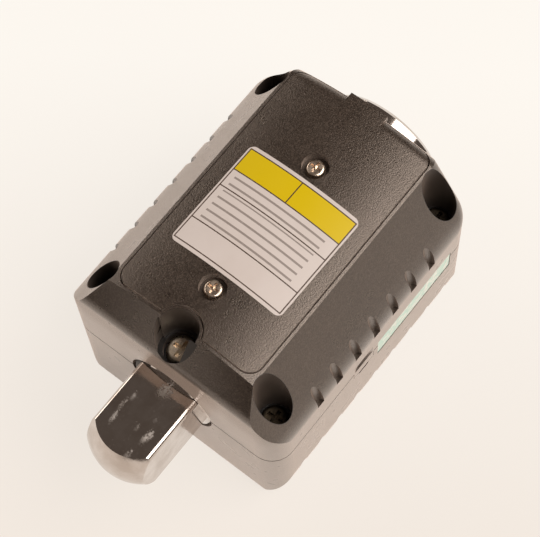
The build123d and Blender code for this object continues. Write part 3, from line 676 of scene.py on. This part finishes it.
keySigns = {
    "paint": {"colour": (0.75, 0.75, 0.72), "roughness": (0.4, 0.5), "scale": 900.0},
    "middleX": -30.0 * mm,
    "y": 9.0 * mm,
    "pitch": 10.8 * mm,
    "face": -19.8 * mm,
    "depth": 0.12 * mm,
    "ringRadius": 1.0 * mm,
    "ringSteps": (32, 8),
    "stroke": (0.28 * mm, 1.1 * mm),
    "strokeUp": 0.6 * mm,
    "triangle": 1.25 * mm,
    "triangleTop": 0.92,
    "bar": (2.6 * mm, 0.32 * mm),
    "barPitch": 0.75 * mm,
    "bevel": 0.06 * mm,
}

digits = {
    "ghost": {"colour": (0.27, 0.31, 0.25), "roughness": (0.2, 0.3), "scale": 300.0},
    "count": 4,
    "middleX": -30.0 * mm,
    "y": -7.4 * mm,
    "glassFront": -18.05 * mm,
    "pitch": 6.6 * mm,
    "segment": (3.0 * mm, 0.7 * mm, 0.02 * mm),
    "gapShare": 0.3,  # of a segment's width, between two segments
}


def makeKeyRubber(name, colour):
    finish = Finish(name)
    where = finish.place()
    broad = finish.noise(where, *keyRubber["broad"])
    fine = finish.noise(where, *keyRubber["fine"])
    finish.set(
        colour=finish.mix(broad.ramp(*cloudSpan), darker(colour, keyRubber["shade"]), colour),
        roughness=broad.ramp(*noiseSpan, *keyRubber["roughness"]),
        sheen=keyRubber["sheen"],
    )
    finish.bump(fine, *keyRubber["bump"])
    return finish


# A new piece ends at the origin, with its place in its mesh, and rides on its body
def settle(piece, name, finish, body):
    bpy.ops.object.select_all(action="DESELECT")
    piece.select_set(True)
    bpy.context.view_layer.objects.active = piece
    bpy.ops.object.transform_apply(location=True, rotation=True, scale=True)
    piece.name = name
    dress(finish, piece)
    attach(piece, body)


def joinAll(pieces):
    bpy.ops.object.select_all(action="DESELECT")
    for piece in pieces:
        piece.select_set(True)
    bpy.context.view_layer.objects.active = pieces[0]
    bpy.ops.object.join()
    return bpy.context.object


def addBar(place, size, bevel):
    bpy.ops.mesh.primitive_cube_add(size=1.0, location=place)
    bar = bpy.context.object
    bar.scale = size
    bpy.ops.object.transform_apply(location=False, rotation=False, scale=True)
    bpy.ops.object.mode_set(mode="EDIT")
    bpy.ops.mesh.select_all(action="SELECT")
    bpy.ops.mesh.bevel(offset=bevel, segments=2)
    bpy.ops.object.mode_set(mode="OBJECT")
    return bar


# A flat hexagon whose two halves are pulled apart along X
def addSegment(place, turn):
    length, width, thick = digits["segment"]
    bpy.ops.mesh.primitive_cylinder_add(
        vertices=6, radius=width / 2, depth=thick, rotation=(0, 0, math.pi / 6)
    )
    segment = bpy.context.object
    bpy.ops.object.transform_apply(location=False, rotation=True, scale=False)
    for way in (-1, 1):
        bpy.ops.object.mode_set(mode="EDIT")
        bpy.ops.mesh.select_all(action="DESELECT")
        bpy.ops.object.mode_set(mode="OBJECT")
        for vertex in segment.data.vertices:
            vertex.select = vertex.co.x * way > 0
        bpy.ops.object.mode_set(mode="EDIT")
        bpy.ops.transform.translate(value=(way * (length - width) / 2, 0, 0))
        bpy.ops.object.mode_set(mode="OBJECT")
    segment.rotation_euler = (0, 0, turn)
    segment.location = place
    return segment


def addTriangle(place, turn):
    radius = keySigns["triangle"]
    bpy.ops.mesh.primitive_cone_add(
        vertices=3, radius1=radius, radius2=radius * keySigns["triangleTop"],
        depth=keySigns["depth"] * 2, location=place, rotation=(math.pi, 0, turn),
    )
    return bpy.context.object


def addRing(place):
    around, section = keySigns["ringSteps"]
    bpy.ops.mesh.primitive_torus_add(
        major_radius=keySigns["ringRadius"], minor_radius=keySigns["depth"],
        major_segments=around, minor_segments=section, location=place,
    )
    return bpy.context.object


def makeKeySigns():
    paint = makePlain("signPaint", **keySigns["paint"])
    powerX, downX, upX, unitX = [
        keySigns["middleX"] + (step - 1.5) * keySigns["pitch"] for step in range(4)
    ]
    y = keySigns["y"]
    z = keySigns["face"]
    deep = keySigns["depth"] * 2
    ring = addRing((powerX, y, z))
    stroke = addBar((powerX, y + keySigns["strokeUp"], z), (*keySigns["stroke"], deep), keySigns["bevel"])
    settle(joinAll([ring, stroke]), "sign_power", paint, "button_power_key")
    settle(addTriangle((downX, y, z), 0.0), "sign_down", paint, "button_down_key")
    settle(addTriangle((upX, y, z), math.pi), "sign_up", paint, "button_up_key")
    bars = [
        addBar((unitX, y + step * keySigns["barPitch"], z), (*keySigns["bar"], deep), keySigns["bevel"])
        for step in (-1, 0, 1)
    ]
    settle(joinAll(bars), "sign_unit", paint, "button_unit_key")


def makeDigits():
    ghost = makePlain("ghostSegment", **digits["ghost"])
    length, width, thick = digits["segment"]
    step = length + width * digits["gapShare"]
    y = digits["y"]
    z = digits["glassFront"] - thick
    segments = []
    for digit in range(digits["count"]):
        x = digits["middleX"] + (digit - (digits["count"] - 1) / 2) * digits["pitch"]
        for level in (-1, 0, 1):
            segments.append(addSegment((x, y + level * step, z), 0.0))
        for side in (-0.5, 0.5):
            for half in (-0.5, 0.5):
                segments.append(addSegment((x + side * step, y + half * step, z), math.pi / 2))
    settle(joinAll(segments), "lcd_digits", ghost, "case")


dress(makeKeyRubber("keyGrey", keyRubber["grey"]), "button_down", "button_up", "button_unit")
dress(makeKeyRubber("keyRed", keyRubber["red"]), "button_power")
dressAll(makePlain, clearParts)
makeKeySigns()
makeDigits()
print("display side done")


# Studio: pale floor, soft lamps, and the camera at the photo's angle

studioFloor = {
    "z": -20.02 * mm,
    "size": 6.0,
    "colour": (0.93, 0.885, 0.84),
    "pale": (0.95, 0.91, 0.87),
    "roughness": 0.9,
    "specular": 0.2,
    "cloud": (9.0, 2.0),
    "cloudBand": (0.4, 0.6),
    "glowFar": (1.0, 0.96, 0.90),
    "glowNear": (0.86, 0.77, 0.69),
    "glowAlong": (0.75, 0.5),
    "glowSpan": (-70.0, 60.0),
    "glowShare": 0.86,
}

studioWorld = {
    "colour": (1.0, 0.82, 0.70),
    "strength": 0.10,
}

# Both lamps point at the origin; size in m and power in W
lamps = {
    "keyLamp": {
        "place": (-0.3, 0.75, 1.0), "size": (1.5, 1.0), "power": 20.0, "colour": (1.0, 0.93, 0.865),
    },
    "fillLamp": {
        "place": (0.1, -1.05, 0.5), "size": (1.3, 0.5), "power": 5.0, "colour": (1.0, 0.92, 0.84),
    },
}

photoCamera = {
    "lens": 121.65,
    "sensor": 36.0,
    "nearest": 0.01,
    "place": (64.26 * mm, 84.79 * mm, 302.71 * mm),
    "azimuth": math.radians(132.58),
    "elevation": math.radians(67.29),
    "roll": math.radians(-4.84),
}


# The floor takes the lamps' shadows. It glows as a background only, to the camera, in gloss and
# through glass, paler toward the far side.
def makeFloor():
    bpy.ops.mesh.primitive_plane_add(size=studioFloor["size"], location=(0, 0, studioFloor["z"]))
    floor = bpy.context.object
    floor.name = "studio_floor"
    floor.data.transform(floor.matrix_world)
    floor.matrix_world = Matrix.Identity(4)
    finish = Finish("floorPaint")
    where = finish.place()
    cloud = finish.noise(where, *studioFloor["cloud"]).ramp(*studioFloor["cloudBand"])
    finish.set(
        colour=finish.mix(cloud, studioFloor["colour"], studioFloor["pale"]),
        roughness=studioFloor["roughness"],
        specular=studioFloor["specular"],
    )
    x, y = finish.axes(where)[:2]
    alongX, alongY = studioFloor["glowAlong"]
    near = (x * alongX + y * alongY).ramp(*studioFloor["glowSpan"])
    tone = finish.mix(near, studioFloor["glowFar"], studioFloor["glowNear"])
    glow = finish.add("ShaderNodeEmission", {}, {"Color": tone, "Strength": 1.0})
    seen = finish.add("ShaderNodeLightPath", {}, {}, "Is Camera Ray")
    rays = seen.node
    for ray in ("Is Glossy Ray", "Is Transmission Ray"):
        seen = seen.larger(Wire(finish, rays, ray))
    finish.over(seen * studioFloor["glowShare"], glow)
    dress(finish, floor)


def makeWorld():
    world = bpy.data.worlds.new("studio")
    bpy.context.scene.world = world
    world.use_nodes = True
    background = world.node_tree.nodes["Background"]
    background.inputs["Color"].default_value = (*studioWorld["colour"], 1.0)
    background.inputs["Strength"].default_value = studioWorld["strength"]


def makeLamp(name, place, size, power, colour):
    data = bpy.data.lights.new(name, "AREA")
    data.shape = "RECTANGLE"
    data.size, data.size_y = size
    data.energy = power
    data.color = colour
    lamp = bpy.data.objects.new(name, data)
    bpy.context.scene.collection.objects.link(lamp)
    lamp.location = place
    lamp.rotation_euler = (-Vector(place)).to_track_quat("-Z", "Y").to_euler()


def makeCamera():
    azimuth = photoCamera["azimuth"]
    elevation = photoCamera["elevation"]
    roll = photoCamera["roll"]
    back = Vector((
        math.sin(azimuth) * math.cos(elevation),
        -math.cos(azimuth) * math.cos(elevation),
        math.sin(elevation),
    ))
    level = Vector((math.cos(azimuth), math.sin(azimuth), 0))
    up = back.cross(level)
    right = math.cos(roll) * level + math.sin(roll) * up
    top = -math.sin(roll) * level + math.cos(roll) * up
    data = bpy.data.cameras.new("photoCamera")
    data.sensor_fit = "HORIZONTAL"
    data.sensor_width = photoCamera["sensor"]
    data.lens = photoCamera["lens"]
    data.clip_start = photoCamera["nearest"]
    camera = bpy.data.objects.new("photoCamera", data)
    bpy.context.scene.collection.objects.link(camera)
    turn = Matrix((right, top, back)).transposed().to_4x4()
    camera.matrix_world = Matrix.Translation(Vector(photoCamera["place"])) @ turn
    bpy.context.scene.camera = camera


makeFloor()
makeWorld()
for name, values in lamps.items():
    makeLamp(name, **values)
makeCamera()
bpy.context.scene.view_settings.view_transform = "Standard"
print("studio done")
